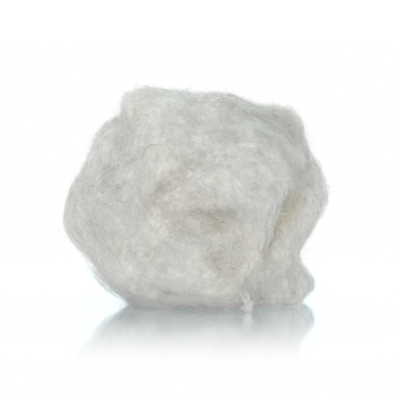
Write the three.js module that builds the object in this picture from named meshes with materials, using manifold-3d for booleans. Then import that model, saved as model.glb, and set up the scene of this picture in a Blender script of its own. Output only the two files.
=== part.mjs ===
// A tuft of undyed wool: one loose wad of carded fleece, folded in on itself and resting on a flat underside.
// Millimetres, +Z up, +X to the right, -Y to the front.
// The origin is on the table, under the middle of the tuft.
import * as THREE from 'three';
import { ImprovedNoise } from 'three/addons/math/ImprovedNoise.js';
import { mergeVertices } from 'three/addons/utils/BufferGeometryUtils.js';
import Module from 'manifold-3d';

// Puffs of fleece that the wad is folded from: the middle of each, and its width, depth and height.
const puffs = {
  heart: { at: [-2, 0, 27], size: [48, 43, 46] },
  leftCheek: { at: [-19.6, -1, 22.7], size: [30, 37, 27.6] },
  leftShoulder: { at: [-17.5, 3, 36], size: [22, 28, 21] },
  shoulderTip: { at: [-21.5, 3, 43.5], size: [7, 14, 7] },
  crown: { at: [-8, 3, 44], size: [24, 26, 22] },
  crownTip: { at: [-16, 2, 51.5], size: [9, 14, 7.5] },
  crownRight: { at: [6, 4, 45.5], size: [21, 24, 18.5] },
  rightShoulder: { at: [20.5, 6, 42.3], size: [16.4, 26, 17.5] },
  rightCheek: { at: [18.5, 3, 28], size: [31, 34, 28] },
  frontLip: { at: [7, -15, 33], size: [27, 22, 17] },
  chin: { at: [-4, -9.5, 9.8], size: [41.4, 31, 26] },
  rightChin: { at: [12, -6, 12.5], size: [24, 28, 28] },
  rightBase: { at: [13.5, 3, 11], size: [25.5, 28, 26] },
  foot: { at: [24, -4, 4.2], size: [15, 22, 9] },
  backLeft: { at: [-9, 15, 25], size: [34, 23, 36] },
  backTop: { at: [7, 14, 37], size: [28, 24, 24] },
  backFoot: { at: [4, 12, 11], size: [38, 28, 26] },
};
const puffBlend = 1.6; // how softly the puffs run into each other

// Rolled folds of fleece: a line along the middle of each roll, and its thickness.
const rolls = {
  rightFlap: {
    along: [[27.5, -3, 31], [25.2, -8, 22], [21.2, -11.5, 14], [20.3, -12, 7], [20.5, -12, 2]],
    thickness: 11,
  },
  rightColumn: { along: [[16, -15, 32], [15, -16, 23], [13, -16.5, 14], [11, -15.5, 5]], thickness: 13 },
  crownSheet: { along: [[-8, -6, 47], [-8, -11, 41], [-9, -14.5, 34], [-11, -15.5, 28]], thickness: 13 },
};

// Creases where one fold presses against the next: a line along each, how wide it opens and how deep it goes.
const creases = {
  rightFold: {
    along: [[28.4, -12, 29], [25, -15, 24], [21, -17, 17.5], [18.5, -18, 12]],
    width: 5,
    depth: 4.5,
  },
  lowerFold: { along: [[19, -18, 13], [18, -18, 8], [18.5, -17, 2]], width: 5, depth: 2 },
  underLip: {
    along: [[-8, -23, 26], [-3, -24, 24.3], [2, -25, 22.8], [6.5, -24, 22.5]],
    width: 7.5,
    depth: 3.2,
  },
  besideLip: { along: [[3, -18, 42], [-3, -21, 35], [-10, -21, 28.5]], width: 4, depth: 2 },
  shoulderNotch: { along: [[-18, -2, 46.8], [-18.5, 3, 47.5], [-18, 8, 47]], width: 3.6, depth: 2.2 },
  upperValley: { along: [[14.5, -10, 47.5], [19, -9, 43], [23, -8, 39]], width: 13, depth: 3.2 },
  backFold: { along: [[-12, 25, 40], [0, 28, 31], [10, 26, 24], [20, 20, 21]], width: 5, depth: 4 },
  leftFold: { along: [[-27, 7, 37], [-28, 12, 28], [-22, 19, 19], [-15, 23, 11]], width: 5, depth: 3 },
  topFold: { along: [[-7, 9, 54], [3, 14, 51], [13, 15, 47]], width: 5, depth: 2.5 },
};
const creaseBlend = 0.8; // how softly a crease's lips are rounded

// Locks of fibre that lie on the wad, mostly sunk in it: a line along each, its thickness and how deep it is.
const locks = {
  smile: { along: [[0, -23, 5], [6.5, -21.5, 2.6], [14, -20.5, 4.6]], thickness: 4, sunk: 1 },
  upperSlant: { along: [[-4, -25, 21], [4, -25, 17.5], [11.8, -23, 13]], thickness: 4, sunk: 1.2 },
  lowerSlant: { along: [[-13, -21, 18], [-4, -24, 13], [4, -24, 9]], thickness: 4.5, sunk: 1.4 },
};
const lockBlend = 0.6; // how softly a lock runs into the wad

// Clumps of fibre all over the wad: their spacing and height.
const clumpPitch = 8;
const clumpHeight = 0.8;
const crimpPitch = 3.5;
const crimpHeight = 0.45;

const skinMiddle = new THREE.Vector3(0, 0, 30); // deep inside the wad: the skin is measured out from here
const skinReach = 60; // further from the middle than any fleece
const skinDetail = 22; // cuts along each edge of the icosahedron that the skin starts as
const skinPasses = 4; // times that the skin's corners are spread evenly over the wad
const skinStep = 0.3; // the shortest stride in the search for the skin
const skinHalvings = 10; // times that the last stride is halved
const lineSteps = 40; // stretches that a smooth line is cut into

const noise = new ImprovedNoise();

// The lowest of several distances, rounded off where they are nearly equal.
function softLeast(distances, blend) {
  const least = Math.min(...distances);
  const sum = distances.reduce((total, d) => total + Math.exp((least - d) / blend), 0);
  return least - blend * Math.log(sum);
}

// About how far a point lies outside a puff, negative inside it.
function outsidePuff(point, { at, size }) {
  const x = (point.x - at[0]) / (size[0] / 2);
  const y = (point.y - at[1]) / (size[1] / 2);
  const z = (point.z - at[2]) / (size[2] / 2);
  const level = Math.hypot(x, y, z);
  const steepness = Math.hypot(x / (size[0] / 2), y / (size[1] / 2), z / (size[2] / 2));
  return (level * (level - 1)) / (steepness + Number.EPSILON);
}

// Evenly spaced points along a smooth line through a few given ones.
function lineThrough(points) {
  return new THREE.CatmullRomCurve3(points).getSpacedPoints(lineSteps);
}

function nearestTo(point, line) {
  let nearest = line[0];
  let least = Infinity;
  for (const candidate of line) {
    const apart = candidate.distanceToSquared(point);
    if (apart < least) {
      least = apart;
      nearest = candidate;
    }
  }
  return nearest;
}

function outsideRoll(point, { line, thickness }) {
  return nearestTo(point, line).distanceTo(point) - thickness / 2;
}

const toVectors = (points) => points.map((p) => new THREE.Vector3(...p));
const puffList = Object.values(puffs);
const rollList = Object.values(rolls).map((roll) => ({ ...roll, line: lineThrough(toVectors(roll.along)) }));

// How far a point lies outside the fleece before it is creased, negative inside it.
function outsideFolds(point) {
  const puffed = puffList.map((puff) => outsidePuff(point, puff));
  const rolled = rollList.map((roll) => outsideRoll(point, roll));
  return softLeast([...puffed, ...rolled], puffBlend);
}

// Where a ray out of the wad's middle, through a given point, leaves the fleece for the last time.
function skinPoint(towards, outside) {
  const ray = towards.clone().sub(skinMiddle).normalize();
  const probe = new THREE.Vector3();
  const gapAt = (distance) => outside(probe.copy(skinMiddle).addScaledVector(ray, distance));
  let inner = skinReach;
  let outer = skinReach;
  for (let gap = gapAt(inner); gap > 0 && inner > skinStep; gap = gapAt(inner)) {
    outer = inner;
    inner -= Math.max(skinStep, gap / 2);
  }
  for (let halving = 0; halving < skinHalvings; halving++) {
    const half = (inner + outer) / 2;
    if (gapAt(half) > 0) outer = half;
    else inner = half;
  }
  gapAt(inner);
  return probe;
}

// A smooth line that lies on the fleece, beside a few given points.
function laidLine(points, outside) {
  return lineThrough(toVectors(points).map((p) => skinPoint(p, outside)));
}

const creaseList = Object.values(creases).map((crease) => ({
  ...crease,
  line: laidLine(crease.along, outsideFolds),
}));

// How far a point lies outside a crease, which narrows with its depth; negative inside it.
function outsideCrease(point, { line, width, depth }) {
  const mouth = nearestTo(point, line);
  const inward = skinMiddle.clone().sub(mouth).normalize();
  const offset = point.clone().sub(mouth);
  const down = offset.dot(inward);
  const aside = Math.sqrt(Math.max(0, offset.lengthSq() - down * down));
  const steepness = Math.hypot(1, width / 2 / depth);
  return (aside - (width / 2) * (1 - down / depth)) / steepness;
}

// How far a point lies outside the creased wad, negative inside it.
function outsideWad(point) {
  const creased = creaseList.map((crease) => outsideCrease(point, crease));
  return -softLeast([-outsideFolds(point), ...creased], creaseBlend);
}

const lockList = Object.values(locks).map((lock) => ({
  ...lock,
  line: laidLine(lock.along, (point) => outsideWad(point) + lock.sunk),
}));

// How far a point lies outside the whole tuft, with its locks and the clumps and crimps of its fibre.
function outsideTuft(point) {
  const clump = noise.noise(point.x / clumpPitch, point.y / clumpPitch, point.z / clumpPitch);
  const crimp = noise.noise(point.x / crimpPitch, point.y / crimpPitch, point.z / crimpPitch);
  const strands = lockList.map((lock) => outsideRoll(point, lock));
  return softLeast([outsideWad(point), ...strands], lockBlend) - clumpHeight * clump - crimpHeight * crimp;
}

// For each corner of a mesh, the corners that share an edge with it.
function neighboursOf(geometry) {
  const count = geometry.getAttribute('position').count;
  const neighbours = Array.from({ length: count }, () => new Set());
  const corners = geometry.index.array;
  for (let i = 0; i < corners.length; i += 3) {
    for (let side = 0; side < 3; side++) {
      const from = corners[i + side];
      const to = corners[i + ((side + 1) % 3)];
      neighbours[from].add(to);
      neighbours[to].add(from);
    }
  }
  return neighbours;
}

// Only the places of a geometry's corners are kept, each corner once.
function merged(geometry) {
  geometry.deleteAttribute('normal');
  geometry.deleteAttribute('uv');
  return mergeVertices(geometry);
}

// The tuft's skin: a ball of triangles drawn in until every corner meets fleece, and spread evenly over it.
function skinGeometry() {
  const ball = new THREE.IcosahedronGeometry(skinReach, skinDetail).translate(...skinMiddle.toArray());
  const skin = merged(ball);
  const corners = skin.getAttribute('position');
  const neighbours = neighboursOf(skin);
  const corner = new THREE.Vector3();
  for (let pass = 0; pass < skinPasses; pass++) {
    neighbours.forEach((around, i) => {
      const amid = new THREE.Vector3();
      for (const other of around) amid.add(corner.fromBufferAttribute(corners, other));
      const placed = skinPoint(amid.divideScalar(around.size), outsideTuft);
      corners.setXYZ(i, placed.x, placed.y, placed.z);
    });
  }
  return skin;
}

// Everything below the table's top, which presses the underside flat.
function tableGeometry() {
  const side = 2 * skinReach;
  return merged(new THREE.BoxGeometry(side, side, side).translate(0, 0, -side / 2));
}

const wasm = await Module();
wasm.setup();

function toSolid(geometry) {
  return new wasm.Manifold(
    new wasm.Mesh({
      numProp: 3,
      vertProperties: geometry.getAttribute('position').array,
      triVerts: new Uint32Array(geometry.index.array),
    }),
  );
}

const pressed = toSolid(skinGeometry()).subtract(toSolid(tableGeometry())).getMesh();
const tuftGeometry = new THREE.BufferGeometry();
tuftGeometry.setAttribute('position', new THREE.BufferAttribute(pressed.vertProperties, 3));
tuftGeometry.setIndex(new THREE.BufferAttribute(pressed.triVerts, 1));
tuftGeometry.computeBoundingBox();
const middle = tuftGeometry.boundingBox.getCenter(new THREE.Vector3());
tuftGeometry.translate(-middle.x, -middle.y, 0);
tuftGeometry.computeVertexNormals();

const wool = new THREE.MeshStandardMaterial({ color: 0xd8d6cc, roughness: 1, metalness: 0 });
const woolTuft = new THREE.Mesh(tuftGeometry, wool);
woolTuft.name = 'wool_tuft';

const part = new THREE.Group();
part.add(woolTuft);

export default part;
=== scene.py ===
import math

import bmesh
import bpy
import numpy as np
from mathutils import Matrix, Vector, noise
from mathutils.bvhtree import BVHTree


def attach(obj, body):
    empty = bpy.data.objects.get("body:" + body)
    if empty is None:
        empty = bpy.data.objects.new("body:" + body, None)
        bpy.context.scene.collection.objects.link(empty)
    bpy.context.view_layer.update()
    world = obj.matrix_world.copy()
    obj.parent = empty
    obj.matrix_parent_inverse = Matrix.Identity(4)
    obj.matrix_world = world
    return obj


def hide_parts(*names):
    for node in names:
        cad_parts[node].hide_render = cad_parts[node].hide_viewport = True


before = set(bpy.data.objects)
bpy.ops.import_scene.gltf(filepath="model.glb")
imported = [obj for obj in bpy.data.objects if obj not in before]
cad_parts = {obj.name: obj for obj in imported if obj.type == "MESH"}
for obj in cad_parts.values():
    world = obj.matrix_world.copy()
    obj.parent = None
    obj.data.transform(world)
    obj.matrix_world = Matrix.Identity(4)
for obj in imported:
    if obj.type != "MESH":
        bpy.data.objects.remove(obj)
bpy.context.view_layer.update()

# A tuft of undyed wool: a felted core with thousands of curly fibres lying on it and standing off it.
# Lengths are in millimetres until a mesh is made, +Z is up and -Y is the front, as in the frame.
MM = 0.001
NODE = "wool_tuft"
BODY = "root"
FLOOR_GAP = 0.1  # fibres stay this far above the floor
FRONT_OF_ALL = -60  # further to the front than any wool

chance = np.random.default_rng(7)

# The camera: a long lens a little above the floor, looking straight at the tuft's front.
CAMERA_RISE = math.radians(5)
CAMERA_DISTANCE = 600
CAMERA_AIM = (1.3, 0, 26.4)
FRAME_WIDTH = 105.2
SENSOR_WIDTH = 36

# The felted core, which lies a little under the fibres.
CORE_VOXEL = 0.65
CORE_SETTLING = 30  # rounds of smoothing
CORE_DEPTH = 0.85
CORE_LUMPS = ((4, 0.1), (1.5, 0.1))  # spacing and height of the lumps on the core

# Where the wool is pressed in or swells out along a route: how far it swells, and how far to each side.
SWELLS = {
    "beside_lip": (((2, -19, 41), (0, -19, 38.5)), 0.6, 1.8),
    "lip_corner": (((-4, -22, 34), (-7.5, -22, 31), (-10, -21, 29)), -0.8, 1.7),
    "lip_line": (((-3, -21, 25), (3, -21, 24.7), (9, -21.5, 25)), -0.6, 1),
    "under_fold": (((20, -16, 16), (18.5, -18, 12), (17.5, -19.5, 8)), 1, 2.2),
    "under_left": (((-22, -11, 0), (-20, -14, 0), (-17, -17, 0)), -3.4, 2.4),
    "under_right": (((30, -6, 1), (28, -8, 1)), -1.5, 2.5),
    "shoulder": (((25, 4, 49.5), (28.5, 4, 47)), 2, 2.8),
    "right_cheek": (((30.5, 2, 38), (33, 2, 33), (34, 1, 28)), 1, 4.5),
    "left_shoulder": (((-28.5, -6, 36), (-31, -6, 33), (-32, -6, 31)), 1, 3),
    "left_haunch": (((-31, -6, 15), (-29.5, -6, 12.5)), -1.2, 2.5),
    "left_notch": (((-19, -3, 50.5), (-20.5, -3, 48.5)), -0.8, 1.5),
    "left_groove": (((-21, -10, 46), (-19, -14, 40), (-18, -16, 34)), 1.2, 3),
    "crown": (((-13, 0, 55), (-1, 0, 54.5)), 0.9, 4),
    "crown_corner": (((-18.5, -2, 53), (-19.5, -2, 50)), 0.9, 2.2),
    "ear": (((8, -1, 53), (11, -1, 53)), 1, 2),
}

# Where the wool is moved aside along a route: how far along each axis, and how far to each side.
SHIFTS = {
    "right_fold": (
        ((28, -11, 27.5), (25.5, -13, 24), (23, -14.5, 20.5), (20.5, -16, 16)),
        (-1.3, 0, 1.3),
        5,
    ),
}

# Pits that are stuffed before the skin is made, each with a round pad: its middle, and its reach along
# each axis.
PADS = {
    "hollow": ((3, -19.4, 22.6), (9, 3.5, 2.8)),
    "lip_edge": ((4, -20.4, 27.6), (10, 4.4, 2.6)),
    "belly": ((2.5, -20.6, 17.4), (10, 4.2, 4.6)),
    "lip_back": ((13.5, -13, 41), (4.5, 5, 2.5)),
    "lip_shoulder": ((18.5, -13, 38.5), (4, 5, 2.5)),
    "lip_side": ((22, -12, 35), (3, 5, 2.5)),
    "behind_lip": ((13, -4, 43.5), (6, 8.5, 4.5)),
    "beside_brow": ((18.5, -3, 40.5), (6, 9, 5)),
    "above_fold": ((23.5, -2.5, 36.5), (5, 8.5, 5)),
}
PAD_FINENESS = 3

# Where the wool is tinted tan or grey along a route: how much, and how far to each side. The tan marks are
# partly a real yellow stain and partly painted shade, darker in the folds, the hollow under the lip and the
# crease beside the lip.
STAINS_AND_SHADE = {
    "right_fold": (((27.5, -11, 28.8), (24.7, -13, 25.3), (22.5, -14.5, 22)), 1, 1.9),
    "lower_fold": (((22.5, -14.5, 22), (20.6, -16, 18.5), (17.9, -18.5, 14)), 0.75, 1.5),
    "below_fold": (((19, -17, 14), (18, -19, 10)), 0.25, 2.2),
    "beside_lip": (((-6, -21, 33), (-9, -21, 29.5), (-12, -21, 27)), 0.15, 1.8),
    "hollow_left": (((-6.5, -21.5, 25.5), (-4, -21.5, 22)), 0.4, 1.9),
    "hollow_right": (((2.5, -21, 24.5), (6.5, -21, 22)), 0.6, 2.2),
    "back_fold": (((-12, 22, 40), (0, 24, 31), (10, 23, 24), (20, 18, 21)), 0.4, 2),
    "left_fold": (((-26, 7, 37), (-26, 11, 28), (-21, 17, 19), (-14, 21, 11)), 0.4, 2),
}
# The grey marks are painted shade in the valley behind the lip, down the right side away from the lamp, at
# the base and in the lip's corner; at the ear, the belly and the lower left cheek they make the wool greyer.
GREY_AND_SHADE = {
    "corner": (((16, -2, 51), (22, 0, 50), (27, 0, 46.5), (30, -1, 41)), 0.85, 5),
    "shoulder": (((19, -8, 44), (24, -8, 40), (28, -6, 35)), 0.6, 4.5),
    "right_cheek": (((33, -3, 35), (34, -3, 29), (33, -5, 24)), 0.6, 5),
    "base_left": (((-21, -14, 7), (-15, -19, 5), (-8, -23, 3)), 0.5, 5),
    "base_right": (((15, -21, 2), (20, -18, 5), (24, -15, 9)), 0.7, 4),
    "flap": (((29, -8, 24), (27, -11, 17), (27, -11, 8)), 0.65, 4),
    "lip_corner": (((-3, -20, 34.5), (-7, -20, 31), (-10, -20, 29)), 0.35, 1.8),
    "ear": (((8.5, -4, 53.5), (11.5, -4, 53)), 0.8, 1.5),
    "belly": (((-13, -22.5, 13.5), (-7, -24, 12)), 0.35, 3.5),
    "cheek": (((-28, -11, 27), (-23, -16, 24), (-17, -19, 23)), 0.35, 6),
}
ROUTE_STEPS = 40
ROUTE_ROUNDINGS = 3

SCATTER_CELL = 2  # fibres are shared out evenly between cells of this size
QUARTERS = ("front_left", "front_right", "back_right", "back_left")

# Every fibre is a tapered tube: through how many points, with how many sides, and how blunt its ends are.
STOPS = 7
FIBRE_SIDES = 3
FIBRE_BLUNTNESS = 0.15
LAYOUT_MARGIN = 0.1  # the free edge of a fibre's cell in the flat layout
UPRIGHT = 0.9  # a fibre that starts steeper than this takes its sides from another axis

# The way that the fleece was carded: places on the wad, and how its fibres run there.
GRAIN = (
    ((-10, -17, 38), (0.1, 0, -1)),
    ((-28, -10, 24), (0.5, -0.3, -1)),
    ((8, -25, 34), (0.2, 0, -1)),
    ((-2, -25, 15), (1, 0, -0.6)),
    ((4, -23, 4), (1, 0, 0.1)),
    ((18, -17, 10), (-0.2, 0, -1)),
    ((30, -3, 28), (-0.3, -0.3, -1)),
    ((18, -6, 46), (1, 0, -0.7)),
    ((-4, 10, 54), (1, 0.3, 0)),
    ((-20, 18, 30), (0.6, 0.5, -0.8)),
    ((12, 24, 34), (0.8, 0, -0.6)),
    ((4, 24, 12), (-1, 0, 0.4)),
)
GRAIN_REACH = 3  # within about this distance of a place, fibres run mostly its way

# The groups of fibres below use the same words. A pair is the least and the most, but a tone is a middle and
# a spread, on a scale from 0 for the darkest fibre to 1 for the palest. STRAY is how far fibres run astray
# from the grain, TURN how tightly they curl in radians per millimetre, CRIMP how far they bend to and fro in
# radians, WAVE how far they wave up and down, and PITCH how long one bend or wave is. SCATTER is how far
# single fibres lie above or below the rest.

# Curly fibres that lie on the wad.
CURLS = 17000
CURL_LENGTH = (3.5, 8)
CURL_RADIUS = (0.03, 0.05)  # of the fibres in locks too
CURL_STRAY = 0.8
CURL_TURN = 0.15
CURL_CRIMP = (0.2, 0.8)
CURL_PITCH = (2, 4)
CURL_DEPTH = 0.4
CURL_SCATTER = 0.25
CURL_TILT = 0.14  # how steeply they rise from end to end
CURL_WAVE = (0.05, 0.3)
CURL_HIGHEST = 0.9  # they lie no further than this above or below the skin
CURL_TONE = (0.5, 0.2)

# Locks: fibres that run side by side along the grain.
LOCKS = 180
LOCK_FIBRES = 9
LOCK_LENGTH = (7, 14)
LOCK_SPREAD = 0.6
LOCK_STAGGER = 2  # how far ahead of each other its fibres start
LOCK_STRAY = 0.15
LOCK_FAN = 0.08  # how far its fibres spread apart in direction, in radians
LOCK_TURN = 0.05
LOCK_CRIMP = (0.05, 0.3)
LOCK_PITCH = (3, 6)
LOCK_DEPTH = 0.3
LOCK_SCATTER = 0.2
LOCK_ARCH = 0.5  # how far the middle of a fibre rises above its ends
LOCK_TONE = (0.6, 0.2)

# Fuzz: thin fibres in little tufts that stand off the wad.
TUFTS = 1700
TUFT_FIBRES = 5
TUFT_SPREAD = 0.3
TUFT_STRAY = 1
TUFT_TURN = 0.3
FUZZ_LENGTH = (2.5, 6)
FUZZ_RADIUS = (0.022, 0.036)
FUZZ_STRAY = 0.4
FUZZ_TURN = 0.15
FUZZ_CRIMP = (0.1, 0.7)
FUZZ_PITCH = (2, 4)
FUZZ_ROOT = 1.2  # how deep they are rooted
FUZZ_RISE = 0.6  # how high a tuft stands on average
FUZZ_UNEVENNESS = (0.5, 1.5)  # how high a fibre stands beside its tuft
FUZZ_MOST = 3  # no fibre stands higher
FUZZ_LOOPS = 0.45  # the share that are loops and have no free end
FUZZ_BEND = (0.7, 1.6)  # free ends rise early below 1 and late above it
FUZZ_TONE = (0.6, 0.15)

# Dark guard hairs: how many faded ones are caught anywhere in the wool, and the places on the front that
# hold more, each with its x and z, how far it spreads and how many hairs it holds. The last few lie along
# set routes.
FADED_HAIRS = 2200
DARK_PLACES = (
    ((4.5, 22.3), 1.6, 27),
    ((0.5, 24.6), 1, 7),
    ((5.5, 24.8), 1.2, 8),
    ((9, 25), 1, 6),
    ((5.2, 13), 2, 24),
    ((5, 34), 6, 14),
    ((-7.5, 30), 1.8, 10),
    ((26, 5.5), 0.4, 2),
    ((20.5, 47), 1.2, 5),
    ((10, 52.8), 1, 24),
)
DARK_STRANDS = (
    ((-7.9, -18, 41), (-11.6, -18, 42), (-12.6, -18, 40), (-11.3, -18, 38.3), (-13.4, -18, 36.8)),
    ((-2.1, -22, 25), (-2.6, -22, 22.7), (-2.8, -22, 20.2)),
    ((7.9, -25.5, 36.4), (8.8, -25.5, 36.6), (9.6, -25.5, 37.1)),
)
DARK_LENGTH = (0.7, 2.6)
DARK_RADIUS = (0.014, 0.026)
DARK_BOLDNESS = 1.7  # how much thicker the hairs are in those places
STRAND_BOLDNESS = 2.6  # and along those routes
DARK_STRAY = 2
DARK_TURN = 0.3
DARK_CRIMP = (0, 0.4)
DARK_PITCH = (2, 5)
DARK_RISE = 0.3
DARK_SCATTER = 0.25
STRAND_RISE = 0.9
DARK_FADING = 0.5  # hairs that aren't faded are at most this far on the way to the faded colour

# Wisps that come loose from the wad, by the places that each passes through: how many fibres, how far apart,
# how thick beside other wisps, and how far they lie off the wad where they don't hang free of it.
WISPS = {
    "veil": (
        ((-28, -8, 13), (-26.3, -8.5, 8.7), (-24, -9, 5.6), (-21, -10, 3.4), (-17, -12, 1)),
        90,
        0.8,
        0.6,
        None,
    ),
    "drop": (((12, -22, 7), (12.5, -23.8, 4.5), (13.1, -25, 2.4), (13.6, -26, 0.4)), 80, 0.35, 1.4, None),
    "drop_end": (((13.1, -25.2, 2.6), (13.4, -25.8, 1.4), (13.8, -26.2, 0.3)), 90, 0.6, 1.2, None),
    "smile": (
        ((-1, -23.5, 6), (3, -24, 3.4), (7, -23.6, 2.6), (11, -23, 3.4), (15, -21, 5.5)),
        30,
        0.5,
        1,
        0.4,
    ),
    "slant": (((-7, -24.5, 22), (-1, -26, 20), (5, -26, 16.5), (12, -24, 12)), 40, 1, 1, 0.3),
    "fringe": (((-17, -18, 1), (-11, -21.5, 1.4), (-5, -23, 0.9), (1, -23, 1.2)), 20, 0.8, 0.6, None),
    "loop": (
        ((14.5, -10, 48.9), (16, -10, 48.5), (17.6, -9, 48.8), (18.7, -9, 49.7), (19.2, -8, 50.7)),
        5,
        0.1,
        1.3,
        0.6,
    ),
}
WISP_RADIUS = (0.03, 0.045)
WISP_START = (0, 0.35)  # the share of the route at which a fibre starts
WISP_SPAN = (0.4, 0.65)  # the share of the route that it covers
WISP_WAVE = (0.05, 0.3)
WISP_PITCH = (2, 5)
WISP_TONE = (0.8, 0.2)

# Colours.
COOL_WOOL = (0.975, 0.98, 0.964)
WARM_WOOL = (0.985, 0.98, 0.954)
# Tan for the stains and for painted shade in the folds.
TAN = (0.84, 0.80, 0.67)
# Grey, mostly for painted shade.
GREY = (0.80, 0.81, 0.795)
DARK = (0.15, 0.12, 0.085)
FADED_DARK = (0.52, 0.48, 0.40)

# How bright fibres and felt are beside these colours, as a middle and a spread, and how rough they are.
FIBRE_BRIGHTNESS = (0.94, 0.07)
FIBRE_ROUGHNESS = 0.6
# The felt is painted darker than the fibres on it: painted shade for the depth of the fleece.
FELT_BRIGHTNESS = (0.77, 0.05)
FELT_ROUGHNESS = 1
GLOW_DEPTH = 0.5  # how far light spreads inside the wool
PATCHES_PER_METRE = 60
PATCH_EDGE = (0.35, 0.65)
TANGLES_PER_METRE = 1100
TANGLE_WIDTH = 0.06
TANGLE_BRIGHTNESS = 0.93  # along the fine lines on the wool
RIDGES_PER_METRE = 700
RIDGE_HEIGHT = 0.3

# The floor: how large it is, how dark the shadow painted into its glow is close to the tuft, and how
# strongly it mirrors the tuft. A reach gives the distances from the middle at which that starts to fade and
# at which it has gone.
HALF_FLOOR = 4000
SHADING_REACH = (16, 34)
SHADING_BRIGHTNESS = 0.48
MIRROR_REACH = (28, 112)
MIRROR_SHARE = 0.86
MIRROR_SLANT = (0.68, 0.86)  # how slanting a look starts to show the mirror image, and shows all of it
MIRROR_TINT = (0.89, 0.98, 1)
MIRROR_BLUR = 0.08

# The light: a bright horizon, a sky that is stronger behind the tuft than in front, and one wide lamp.
HORIZON_EDGE = (0.08, 0.25)
HORIZON_TINT = (0.96, 1, 1)
HORIZON_STRENGTH = 1.2
SKY_TINT = (0.92, 1, 1)
SKY_EDGE = (-0.7, 0.7)
SKY_STRENGTH = (0.62, 1.08)
KEY_AT = (-50, -580, 360)
KEY_AIM = (0, 0, 30)
KEY_SIZE = 900
KEY_WATTS = 2.4
KEY_TINT = (1, 0.88, 0.77)


def new_object(name, data):
    piece = bpy.data.objects.new(name, data)
    bpy.context.scene.collection.objects.link(piece)
    return piece


def applied(piece):
    """Replaces a piece's mesh by what its modifiers make of it."""
    shaped = piece.evaluated_get(bpy.context.evaluated_depsgraph_get())
    mesh = bpy.data.meshes.new_from_object(shaped)
    piece.modifiers.clear()
    piece.data = mesh
    return mesh


def vectors_from(collection, field):
    flat = np.empty(len(collection) * 3, np.float32)
    collection.foreach_get(field, flat)
    return flat.reshape(-1, 3).astype(float)


def unit(vectors):
    return vectors / np.maximum(np.linalg.norm(vectors, axis=-1, keepdims=True), 1e-9)


def flattened(ways, outward):
    """Directions laid flat on the skin."""
    return unit(ways - (ways * outward).sum(-1, keepdims=True) * outward)


def between(limits, count):
    return chance.uniform(*limits, count)


def paint(mesh, name, values):
    """Stores one number per vertex for a material to read."""
    layer = mesh.attributes.new(name, "FLOAT", "POINT")
    layer.data.foreach_set("value", values.astype(np.float32).ravel())


def along_route(places, steps):
    """Points at shares of the way along a rounded route through a few places, and the route's length."""
    route = np.array(places, float)
    # Each round cuts the corners off, a quarter of the way along the stretches that meet there.
    for _ in range(ROUTE_ROUNDINGS):
        near = route[:-1] * 0.75 + route[1:] * 0.25
        far = route[:-1] * 0.25 + route[1:] * 0.75
        route = np.concatenate([route[:1], np.stack([near, far], 1).reshape(-1, 3), route[-1:]])
    travelled = np.concatenate([[0], np.cumsum(np.linalg.norm(np.diff(route, axis=0), axis=1))])
    wanted = steps * travelled[-1]
    points = [np.interp(wanted, travelled, route[:, axis]) for axis in range(3)]
    return np.stack(points, -1), travelled[-1]


def near_route(points, places, width):
    """How near each point lies to a rounded route: 1 on it, and less over a width to each side."""
    route, _ = along_route(places, np.linspace(0, 1, ROUTE_STEPS))
    apart = np.min([np.linalg.norm(points - spot, axis=1) for spot in route], axis=0)
    return np.exp(-((apart / width) ** 2))


# The skin: the solid's surface in small even faces, with its pits stuffed. The core is made from it, and
# fibres are laid along it.
wad = bmesh.new()
wad.from_mesh(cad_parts[NODE].data)
for middle, reach in PADS.values():
    place = Matrix.LocRotScale(Vector(middle) * MM, None, Vector(reach) * MM)
    bmesh.ops.create_icosphere(wad, subdivisions=PAD_FINENESS, radius=1, matrix=place)
wad_mesh = bpy.data.meshes.new("wool_core")
wad.to_mesh(wad_mesh)
wad.free()
core = new_object("wool_core", wad_mesh)
voxels = core.modifiers.new("voxels", "REMESH")
voxels.mode = "VOXEL"
voxels.voxel_size = CORE_VOXEL * MM
settle = core.modifiers.new("settle", "SMOOTH")
settle.iterations = CORE_SETTLING
core_mesh = applied(core)
skin_points = vectors_from(core_mesh.vertices, "co") / MM
skin_normals = vectors_from(core_mesh.vertex_normals, "vector")
for places, move, width in SHIFTS.values():
    skin_points += near_route(skin_points, places, width)[:, None] * np.array(move)
for places, height, width in SWELLS.values():
    skin_points += skin_normals * (height * near_route(skin_points, places, width))[:, None]
core_mesh.vertices.foreach_set("co", (skin_points * MM).astype(np.float32).ravel())
core_mesh.update()
skin_normals = vectors_from(core_mesh.vertex_normals, "vector")
skin_faces = [tuple(face.vertices) for face in core_mesh.polygons]
skin_tree = BVHTree.FromPolygons([Vector(p) for p in skin_points], skin_faces)
skin_order = np.lexsort(np.floor(skin_points / SCATTER_CELL).T)  # the skin's points, cell by cell


def marked(marks):
    """How much each point of the skin is marked by the strongest of some marks along routes."""
    shares = [share * near_route(skin_points, places, width) for places, share, width in marks.values()]
    return np.max(shares, axis=0)


skin_marks = {"stain_and_shade": marked(STAINS_AND_SHADE), "grey_and_shade": marked(GREY_AND_SHADE)}


def on_skin(points):
    """The point of the skin nearest to each point, the way out of it there, and the number of its face."""
    feet = np.empty_like(points)
    outward = np.empty_like(points)
    faces = np.empty(len(points), int)
    for i, point in enumerate(points):
        foot, normal, face, _ = skin_tree.find_nearest(Vector(point))
        feet[i] = foot
        outward[i] = normal
        faces[i] = face
    return feet, outward, faces


def marks_at(faces):
    """How strong the tan and grey marks, stains and painted shade, are at the faces with these numbers."""
    corners = np.array([face[0] for face in skin_faces])[faces]
    return {name: values[corners] for name, values in skin_marks.items()}


def ramp(nodes, links, value, start, end, low, high):
    """A value turned into a smooth step from low to high as it goes from start to end."""
    step = nodes.new("ShaderNodeMapRange")
    step.interpolation_type = "SMOOTHSTEP"
    step.inputs["From Min"].default_value = start
    step.inputs["From Max"].default_value = end
    step.inputs["To Min"].default_value = low
    step.inputs["To Max"].default_value = high
    links.new(value, step.inputs["Value"])
    return step.outputs["Result"]


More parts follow.
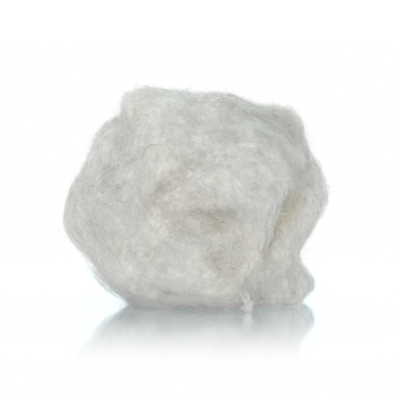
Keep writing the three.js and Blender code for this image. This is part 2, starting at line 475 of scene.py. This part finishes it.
def attribute(nodes, name):
    """What was painted on a mesh under a name."""
    node = nodes.new("ShaderNodeAttribute")
    node.attribute_name = name
    return node.outputs["Fac"]


def mixed(nodes, links, share, low, high):
    """A colour between two others, each given as a colour or taken from another node."""
    mix = nodes.new("ShaderNodeMix")
    mix.data_type = "RGBA"
    links.new(share, mix.inputs["Factor"])
    for name, colour in (("A", low), ("B", high)):
        if isinstance(colour, tuple):
            mix.inputs[name].default_value = (*colour, 1)
        else:
            links.new(colour, mix.inputs[name])
    return mix.outputs["Result"]


def times(nodes, links, one, other):
    product = nodes.new("ShaderNodeMath")
    product.operation = "MULTIPLY"
    links.new(one, product.inputs[0])
    links.new(other, product.inputs[1])
    return product.outputs["Value"]


def tangle(nodes, links, place, scale, width, on_line, off_line):
    """A value that differs along fine curly lines like hair: where noise crosses its middle value."""
    waves = nodes.new("ShaderNodeTexNoise")
    waves.inputs["Scale"].default_value = scale
    waves.inputs["Detail"].default_value = 1
    waves.inputs["Distortion"].default_value = 0.5
    links.new(place.outputs["Object"], waves.inputs["Vector"])
    off = nodes.new("ShaderNodeMath")
    off.operation = "SUBTRACT"
    off.inputs[1].default_value = 0.5
    links.new(waves.outputs["Fac"], off.inputs[0])
    apart = nodes.new("ShaderNodeMath")
    apart.operation = "ABSOLUTE"
    links.new(off.outputs["Value"], apart.inputs[0])
    return ramp(nodes, links, apart.outputs["Value"], 0, width, on_line, off_line)


def wool_material(name, roughness, brightness):
    """Off-white wool in faint patches, tan in stains and painted shade, grey mostly in painted shade, with a
    shade per fibre.
    """
    material = bpy.data.materials.new(name)
    material.use_nodes = True
    nodes, links = material.node_tree.nodes, material.node_tree.links
    shader = nodes["Principled BSDF"]
    shader.inputs["Roughness"].default_value = roughness
    shader.inputs["Specular IOR Level"].default_value = 0.3
    shader.inputs["Sheen Weight"].default_value = 0.2
    shader.inputs["Sheen Roughness"].default_value = 0.5
    shader.inputs["Subsurface Weight"].default_value = 1
    shader.inputs["Subsurface Radius"].default_value = (1, 1, 1)
    shader.inputs["Subsurface Scale"].default_value = GLOW_DEPTH * MM

    place = nodes.new("ShaderNodeTexCoord")
    patch = nodes.new("ShaderNodeTexNoise")
    patch.inputs["Scale"].default_value = PATCHES_PER_METRE
    patch.inputs["Detail"].default_value = 3
    links.new(place.outputs["Object"], patch.inputs["Vector"])
    warmth = ramp(nodes, links, patch.outputs["Fac"], *PATCH_EDGE, 0, 1)
    wool = mixed(nodes, links, warmth, COOL_WOOL, WARM_WOOL)
    stained_and_shaded = mixed(nodes, links, attribute(nodes, "stain_and_shade"), wool, TAN)
    hue = mixed(nodes, links, attribute(nodes, "grey_and_shade"), stained_and_shaded, GREY)

    toned = nodes.new("ShaderNodeHueSaturation")
    links.new(hue, toned.inputs["Color"])
    middle, spread = brightness
    own = ramp(nodes, links, attribute(nodes, "shade"), 0, 1, middle - spread, middle + spread)
    dim = tangle(nodes, links, place, TANGLES_PER_METRE, TANGLE_WIDTH, TANGLE_BRIGHTNESS, 1)
    links.new(times(nodes, links, own, dim), toned.inputs["Value"])
    links.new(toned.outputs["Color"], shader.inputs["Base Color"])
    return material


def felt_bump(material):
    """Fine tangled ridges on the felt between the fibres."""
    nodes, links = material.node_tree.nodes, material.node_tree.links
    place = nodes.new("ShaderNodeTexCoord")
    ridges = nodes.new("ShaderNodeTexNoise")
    ridges.noise_type = "RIDGED_MULTIFRACTAL"
    ridges.inputs["Scale"].default_value = RIDGES_PER_METRE
    ridges.inputs["Detail"].default_value = 3
    ridges.inputs["Distortion"].default_value = 1.2
    links.new(place.outputs["Object"], ridges.inputs["Vector"])
    bump = nodes.new("ShaderNodeBump")
    bump.inputs["Strength"].default_value = 0.6
    bump.inputs["Distance"].default_value = RIDGE_HEIGHT * MM
    links.new(ridges.outputs["Fac"], bump.inputs["Height"])
    links.new(bump.outputs["Normal"], nodes["Principled BSDF"].inputs["Normal"])


def dark_material():
    """Guard hair, from dark brown to a faded brown."""
    material = bpy.data.materials.new("dark_hair")
    material.use_nodes = True
    nodes, links = material.node_tree.nodes, material.node_tree.links
    shader = nodes["Principled BSDF"]
    shader.inputs["Roughness"].default_value = 0.5
    hue = mixed(nodes, links, attribute(nodes, "shade"), DARK, FADED_DARK)
    links.new(hue, shader.inputs["Base Color"])
    return material


def scattered(count):
    """Places spread evenly over the skin, with its outward direction there."""
    share = (np.arange(count) + chance.random(count)) / count
    picked = skin_order[(share * len(skin_order)).astype(int)]
    return skin_points[picked], skin_normals[picked]


def grain_at(places, outward, stray):
    """The way that fibres run at each place, flat on the skin and more or less astray."""
    spots = np.array([spot for spot, _ in GRAIN], float)
    ways = unit(np.array([way for _, way in GRAIN], float))
    apart = np.linalg.norm(places[:, None] - spots, axis=2)
    share = unit(1 / (apart + GRAIN_REACH) ** 3)
    return flattened(unit(share @ ways) + chance.normal(0, stray, outward.shape), outward)


def turns(lengths, curl, crimp, pitch):
    """How far each fibre turns at each of its steps: a steady curl, and the natural crimp of wool."""
    count = len(lengths)
    step = lengths / (STOPS - 1)
    phase = chance.uniform(0, 2 * math.pi, count)
    wave = np.sin(2 * math.pi * np.arange(STOPS + 1) * (step / pitch)[:, None] + phase[:, None])
    return (curl * step)[:, None] + crimp[:, None] * np.diff(wave, axis=1)


def waver(lengths, height, pitch):
    """A wave along each fibre."""
    phase = chance.uniform(0, 2 * math.pi, len(lengths))
    turn = 2 * math.pi * (lengths / pitch)[:, None] * np.linspace(0, 1, STOPS) + phase[:, None]
    return height[:, None] * np.sin(turn)


def walk(starts, headings, lengths, turning):
    """Paths along the skin from each start: their points, the ways out of the skin there and its faces."""
    step = (lengths / (STOPS - 1))[:, None]
    at, way = starts, headings
    points, outs, faces = [], [], []
    for stop in range(STOPS):
        feet, outward, face = on_skin(at)
        way = flattened(way, outward)
        points.append(feet)
        outs.append(outward)
        faces.append(face)
        turn = turning[:, stop, None]
        way = way * np.cos(turn) + np.cross(outward, way) * np.sin(turn)
        at = feet + way * step
    return np.stack(points, 1), np.stack(outs, 1), np.stack(faces, 1)


def lifted(points, outward, rise):
    """Paths raised off the skin by a height at each stop, and kept above the floor."""
    lines = points + outward * rise[..., None]
    lines[..., 2] = np.maximum(lines[..., 2], FLOOR_GAP)
    return lines


def side_along(along):
    """A direction across each line that turns as little as it can from stop to stop."""
    upright = np.abs(along[:, :1, 2:]) > UPRIGHT
    aside = np.where(upright, np.array([1.0, 0, 0]), np.array([0, 0, 1.0]))
    side = np.empty_like(along)
    side[:, 0] = unit(np.cross(along[:, 0], aside[:, 0]))
    for stop in range(1, along.shape[1]):
        side[:, stop] = flattened(side[:, stop - 1], along[:, stop])
    return side


def tube_mesh(name, lines, radii, tints):
    """Closed tubes along the lines, drawn out to a point at both ends."""
    count, stops, _ = lines.shape
    along = unit(np.gradient(lines, axis=1))
    side = side_along(along)
    up = np.cross(along, side)
    taper = np.linspace(FIBRE_BLUNTNESS, math.pi - FIBRE_BLUNTNESS, stops)
    thick = np.sin(taper) ** 0.5 * radii[:, None]
    corners = []
    for turn in np.arange(FIBRE_SIDES) * 2 * math.pi / FIBRE_SIDES:
        corners.append(lines + (side * math.cos(turn) + up * math.sin(turn)) * thick[..., None])
    rings = np.stack(corners, 2)[:, 1:-1].reshape(count, -1, 3)
    points = np.concatenate([lines[:, :1], rings, lines[:, -1:]], 1)
    per_fibre = points.shape[1]

    def index(stop, corner):
        if stop == 0:
            return 0
        if stop == stops - 1:
            return per_fibre - 1
        return 1 + (stop - 1) * FIBRE_SIDES + corner % FIBRE_SIDES

    faces, places = [], []
    for stop in range(stops - 1):
        for corner in range(FIBRE_SIDES):
            square = ((stop, corner), (stop, corner + 1), (stop + 1, corner + 1), (stop + 1, corner))
            for triangle in (square[:3], (square[0], *square[2:])):
                indices = [index(*where) for where in triangle]
                if len(set(indices)) == 3:
                    faces.append(indices)
                    places.append([(s / (stops - 1), c / FIBRE_SIDES) for s, c in triangle])
    loops = (np.array(faces)[None] + per_fibre * np.arange(count)[:, None, None]).ravel()

    mesh = bpy.data.meshes.new(name)
    mesh.vertices.add(count * per_fibre)
    mesh.vertices.foreach_set("co", (points * MM).astype(np.float32).ravel())
    mesh.loops.add(len(loops))
    mesh.loops.foreach_set("vertex_index", loops.astype(np.int32))
    mesh.polygons.add(len(loops) // 3)
    mesh.polygons.foreach_set("loop_start", np.arange(0, len(loops), 3, dtype=np.int32))
    mesh.polygons.foreach_set("use_smooth", np.ones(len(loops) // 3, bool))

    # Each fibre is laid out flat in its own cell of a square grid.
    cells = math.ceil(math.sqrt(count))
    cell = np.stack([np.arange(count) % cells, np.arange(count) // cells], 1)
    inside = LAYOUT_MARGIN + (1 - 2 * LAYOUT_MARGIN) * np.array(places)
    layout = (cell[:, None, None] + inside[None]) / cells
    mesh.uv_layers.new(name="OFBake").data.foreach_set("uv", layout.astype(np.float32).ravel())
    corners_at = [1] + [FIBRE_SIDES] * (stops - 2) + [1]
    for label, values in tints.items():
        paint(mesh, label, np.repeat(np.broadcast_to(values, (count, stops)), corners_at, axis=1))
    mesh.update(calc_edges=True)
    return mesh


def join_wad(piece, material):
    """Gives a piece its material and makes it part of the tuft."""
    piece.data.materials.clear()
    piece.data.materials.append(material)
    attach(piece, BODY)


def add_fibres(name, lines, radii, tints, material):
    join_wad(new_object(name, tube_mesh(name, lines, radii, tints)), material)


def add_by_quarter(name, lines, radii, tints, material):
    """Adds fibres as four pieces, one for each quarter of the wad."""
    middle = lines[:, STOPS // 2]
    turn = np.arctan2(middle[:, 1], middle[:, 0]) / math.pi + 1
    quarter = np.floor(turn * 2).astype(int) % 4
    for number, label in enumerate(QUARTERS):
        own = quarter == number
        own_tints = {key: values[own] for key, values in tints.items()}
        add_fibres(f"{name}_{label}", lines[own], radii[own], own_tints, material)


fibre_wool = wool_material("wool_fibre", FIBRE_ROUGHNESS, FIBRE_BRIGHTNESS)
felt_wool = wool_material("wool_felt", FELT_ROUGHNESS, FELT_BRIGHTNESS)
felt_bump(felt_wool)
dark_hair = dark_material()

# The core: the skin drawn in under the fibres, with lumps.
lumps = np.zeros(len(skin_points))
for pitch, height in CORE_LUMPS:
    lumps += height * np.array([noise.noise(Vector(p / pitch)) for p in skin_points])
core_points = skin_points + skin_normals * (lumps - CORE_DEPTH)[:, None]
core_points[:, 2] = np.maximum(core_points[:, 2], FLOOR_GAP / 2)
core_mesh.vertices.foreach_set("co", (core_points * MM).astype(np.float32).ravel())
core_mesh.polygons.foreach_set("use_smooth", np.ones(len(core_mesh.polygons), bool))
core_mesh.update()
for label, values in skin_marks.items():
    paint(core_mesh, label, values)
# The felt is painted lighter on top of its lumps and darker in the dips between them: painted shade.
paint(core_mesh, "shade", 0.5 + lumps)
join_wad(core, felt_wool)
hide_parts(NODE)

along_fibre = np.linspace(0, 1, STOPS)


def shades(middle, spread, count):
    """A shade for each fibre, from 0 for the darkest to 1 for the palest."""
    return np.clip(chance.normal(middle, spread, count), 0, 1)[:, None]


def curls():
    """Curly fibres lying on the wad, some ends deeper in it and some a little off it."""
    places, outward = scattered(CURLS)
    lengths = between(CURL_LENGTH, CURLS)
    curl = chance.normal(0, CURL_TURN, CURLS)
    turning = turns(lengths, curl, between(CURL_CRIMP, CURLS), between(CURL_PITCH, CURLS))
    points, outs, faces = walk(places, grain_at(places, outward, CURL_STRAY), lengths, turning)
    tilt = chance.normal(0, CURL_TILT, CURLS) * lengths
    rise = chance.normal(-CURL_DEPTH, CURL_SCATTER, CURLS)[:, None] + tilt[:, None] * (along_fibre - 0.5)
    rise = rise + waver(lengths, between(CURL_WAVE, CURLS), between(CURL_PITCH, CURLS))
    lines = lifted(points, outs, CURL_HIGHEST * np.tanh(rise / CURL_HIGHEST))
    tints = {"shade": shades(*CURL_TONE, CURLS), **marks_at(faces)}
    add_by_quarter("wool_curls", lines, between(CURL_RADIUS, CURLS), tints, fibre_wool)


def locks():
    """Fibres that run side by side in loose locks along the grain."""
    places, outward = scattered(LOCKS)
    headings = grain_at(places, outward, LOCK_STRAY)
    owner = np.repeat(np.arange(LOCKS), LOCK_FIBRES)
    count = len(owner)
    aside = np.cross(outward, headings)[owner] * chance.normal(0, LOCK_SPREAD, count)[:, None]
    ahead = headings[owner] * chance.normal(0, LOCK_STAGGER, count)[:, None]
    fan = chance.normal(0, LOCK_FAN, count)[:, None]
    ways = headings[owner] * np.cos(fan) + np.cross(outward, headings)[owner] * np.sin(fan)
    lengths = between(LOCK_LENGTH, count)
    curl = chance.normal(0, LOCK_TURN, LOCKS)[owner]
    turning = turns(lengths, curl, between(LOCK_CRIMP, count), between(LOCK_PITCH, count))
    points, outs, faces = walk(places[owner] + aside + ahead, ways, lengths, turning)
    arch = LOCK_ARCH * np.sin(math.pi * along_fibre)
    rise = chance.normal(-LOCK_DEPTH, LOCK_SCATTER, count)[:, None] + arch
    tints = {"shade": shades(*LOCK_TONE, count), **marks_at(faces)}
    add_fibres("wool_locks", lifted(points, outs, rise), between(CURL_RADIUS, count), tints, fibre_wool)


def fuzz():
    """Thin fibres in little tufts that stand off the wad, some as loops and some with a free end."""
    places, outward = scattered(TUFTS)
    headings = grain_at(places, outward, TUFT_STRAY)
    owner = np.repeat(np.arange(TUFTS), TUFT_FIBRES)
    count = len(owner)
    starts = places[owner] + chance.normal(0, TUFT_SPREAD, (count, 3))
    ways = flattened(headings[owner] + chance.normal(0, FUZZ_STRAY, (count, 3)), outward[owner])
    lengths = between(FUZZ_LENGTH, count)
    curl = chance.normal(0, TUFT_TURN, TUFTS)[owner] + chance.normal(0, FUZZ_TURN, count)
    turning = turns(lengths, curl, between(FUZZ_CRIMP, count), between(FUZZ_PITCH, count))
    points, outs, faces = walk(starts, ways, lengths, turning)
    top = chance.exponential(FUZZ_RISE, TUFTS)[owner] * between(FUZZ_UNEVENNESS, count)
    top = np.minimum(top, FUZZ_MOST)[:, None] + FUZZ_ROOT
    loop = np.sin(math.pi * along_fibre)
    free = along_fibre ** between(FUZZ_BEND, count)[:, None]
    rise = np.where(chance.random(count)[:, None] < FUZZ_LOOPS, loop, free) * top - FUZZ_ROOT
    tints = {"shade": shades(*FUZZ_TONE, count), **marks_at(faces)}
    lines = lifted(points, outs, rise)
    add_by_quarter("wool_fuzz", lines, between(FUZZ_RADIUS, count), tints, fibre_wool)


def front_places(middle, spread, count):
    """Places on the front of the wad, scattered about a middle given by x and z."""
    seen = []
    for x, z in np.array(middle) + chance.normal(0, spread, (count, 2)):
        seen.append(skin_tree.ray_cast(Vector((x, FRONT_OF_ALL, z)), Vector((0, 1, 0)))[0])
    return np.array([place for place in seen if place is not None])


def laid(lines, rise):
    """Lines moved to a height above the skin."""
    feet, outward, _ = on_skin(lines.reshape(-1, 3))
    heights = np.broadcast_to(rise, lines.shape[:2])
    return lifted(feet.reshape(lines.shape), outward.reshape(lines.shape), heights)


def dark_hairs():
    """Guard hairs caught in the wool: faded ones anywhere, bold dark ones in places and along set routes."""
    groups = [front_places(*place) for place in DARK_PLACES]
    places, outward, _ = on_skin(np.concatenate([scattered(FADED_HAIRS)[0], *groups]))
    count = len(places)
    lengths = between(DARK_LENGTH, count)
    curl = chance.normal(0, DARK_TURN, count)
    turning = turns(lengths, curl, between(DARK_CRIMP, count), between(DARK_PITCH, count))
    points, outs, _ = walk(places, grain_at(places, outward, DARK_STRAY), lengths, turning)
    rise = np.broadcast_to(chance.normal(DARK_RISE, DARK_SCATTER, count)[:, None], (count, STOPS))
    strands = np.stack([along_route(route, along_fibre)[0] for route in DARK_STRANDS])
    lines = np.concatenate([lifted(points, outs, rise), laid(strands, STRAND_RISE)])
    fading = chance.random(len(lines)) * DARK_FADING
    fading[:FADED_HAIRS] += 1 - DARK_FADING
    radii = between(DARK_RADIUS, len(lines))
    radii[FADED_HAIRS:count] *= DARK_BOLDNESS
    radii[count:] *= STRAND_BOLDNESS
    add_fibres("wool_dark_hairs", lines, radii, {"shade": fading[:, None]}, dark_hair)


def wisps():
    """Strands that come loose from the wad and lie over it or hang beside it."""
    all_lines, all_radii = [], []
    for places, count, spread, thickness, proud in WISPS.values():
        start = between(WISP_START, count)
        span = between(WISP_SPAN, count)
        lines, total = along_route(places, start[:, None] + span[:, None] * along_fibre)
        lines = lines + chance.normal(0, spread, (count, 1, 3))
        lines = lines + chance.normal(0, spread, (count, 1, 3)) * (along_fibre - 0.5)[:, None]
        if proud is not None:
            lines = laid(lines, proud)
        for axis in range(3):
            lines[..., axis] += waver(span * total, between(WISP_WAVE, count), between(WISP_PITCH, count))
        lines[..., 2] = np.maximum(lines[..., 2], FLOOR_GAP)
        all_lines.append(lines)
        all_radii.append(between(WISP_RADIUS, count) * thickness)
    lines = np.concatenate(all_lines)
    count = len(lines)
    unmarked = np.zeros((count, 1))
    tints = {"shade": shades(*WISP_TONE, count), "stain_and_shade": unmarked, "grey_and_shade": unmarked}
    add_fibres("wool_wisps", lines, np.concatenate(all_radii), tints, fibre_wool)


curls()
locks()
fuzz()
dark_hairs()
wisps()


def in_metres(lengths):
    return [length * MM for length in lengths]


def floor_material():
    """A glowing white table top with a painted shadow close to the tuft, that mirrors it at a slant, and
    less with distance.
    """
    material = bpy.data.materials.new("pale_floor")
    material.use_nodes = True
    nodes, links = material.node_tree.nodes, material.node_tree.links
    nodes.remove(nodes["Principled BSDF"])
    place = nodes.new("ShaderNodeTexCoord")
    far = nodes.new("ShaderNodeVectorMath")
    far.operation = "LENGTH"
    links.new(place.outputs["Object"], far.inputs[0])
    lit = nodes.new("ShaderNodeEmission")
    shading = ramp(nodes, links, far.outputs["Value"], *in_metres(SHADING_REACH), SHADING_BRIGHTNESS, 1)
    links.new(shading, lit.inputs["Strength"])
    gloss = nodes.new("ShaderNodeBsdfGlossy")
    gloss.inputs["Color"].default_value = (*MIRROR_TINT, 1)
    gloss.inputs["Roughness"].default_value = MIRROR_BLUR
    slant = nodes.new("ShaderNodeLayerWeight")
    fade = ramp(nodes, links, far.outputs["Value"], *in_metres(MIRROR_REACH), MIRROR_SHARE, 0)
    grazing = ramp(nodes, links, slant.outputs["Facing"], *MIRROR_SLANT, 0, 1)
    mix = nodes.new("ShaderNodeMixShader")
    links.new(times(nodes, links, fade, grazing), mix.inputs["Fac"])
    links.new(lit.outputs["Emission"], mix.inputs[1])
    links.new(gloss.outputs["BSDF"], mix.inputs[2])
    links.new(mix.outputs["Shader"], nodes["Material Output"].inputs["Surface"])
    return material


floor_mesh = bpy.data.meshes.new("floor")
half = HALF_FLOOR * MM
floor_corners = [(-half, -half, 0), (half, -half, 0), (half, half, 0), (-half, half, 0)]
floor_mesh.from_pydata(floor_corners, [], [(0, 1, 2, 3)])
floor_mesh.materials.append(floor_material())
new_object("floor", floor_mesh)


def studio_world():
    """Soft light, white all round at the horizon, and higher up stronger from behind than in front."""
    world = bpy.data.worlds.new("studio")
    world.use_nodes = True
    nodes, links = world.node_tree.nodes, world.node_tree.links
    way = nodes.new("ShaderNodeTexCoord")
    parts = nodes.new("ShaderNodeSeparateXYZ")
    links.new(way.outputs["Generated"], parts.inputs["Vector"])
    sky = nodes["Background"]
    above = ramp(nodes, links, parts.outputs["Z"], *HORIZON_EDGE, 0, 1)
    links.new(mixed(nodes, links, above, HORIZON_TINT, SKY_TINT), sky.inputs["Color"])
    blend = nodes.new("ShaderNodeMix")
    blend.inputs["A"].default_value = HORIZON_STRENGTH
    links.new(ramp(nodes, links, parts.outputs["Y"], *SKY_EDGE, *SKY_STRENGTH), blend.inputs["B"])
    links.new(above, blend.inputs["Factor"])
    links.new(blend.outputs["Result"], sky.inputs["Strength"])
    return world


bpy.context.scene.world = studio_world()

key_data = bpy.data.lights.new("key", "AREA")
key_data.size = KEY_SIZE * MM
key_data.energy = KEY_WATTS
key_data.color = KEY_TINT
key = new_object("key", key_data)
key.location = in_metres(KEY_AT)
key.rotation_euler = (Vector(KEY_AIM) - Vector(KEY_AT)).to_track_quat("-Z", "Y").to_euler()

camera_data = bpy.data.cameras.new("camera")
camera_data.sensor_width = SENSOR_WIDTH
camera_data.lens = SENSOR_WIDTH * CAMERA_DISTANCE / FRAME_WIDTH
camera = new_object("camera", camera_data)
back = Vector((0, -math.cos(CAMERA_RISE), math.sin(CAMERA_RISE)))
camera.location = (Vector(CAMERA_AIM) + back * CAMERA_DISTANCE) * MM
camera.rotation_euler = back.to_track_quat("Z", "Y").to_euler()
bpy.context.scene.camera = camera
bpy.context.scene.view_settings.view_transform = "Standard"

# Light bounces many times between white fibres.
bpy.context.scene.cycles.diffuse_bounces = 12
bpy.context.scene.cycles.max_bounces = 16
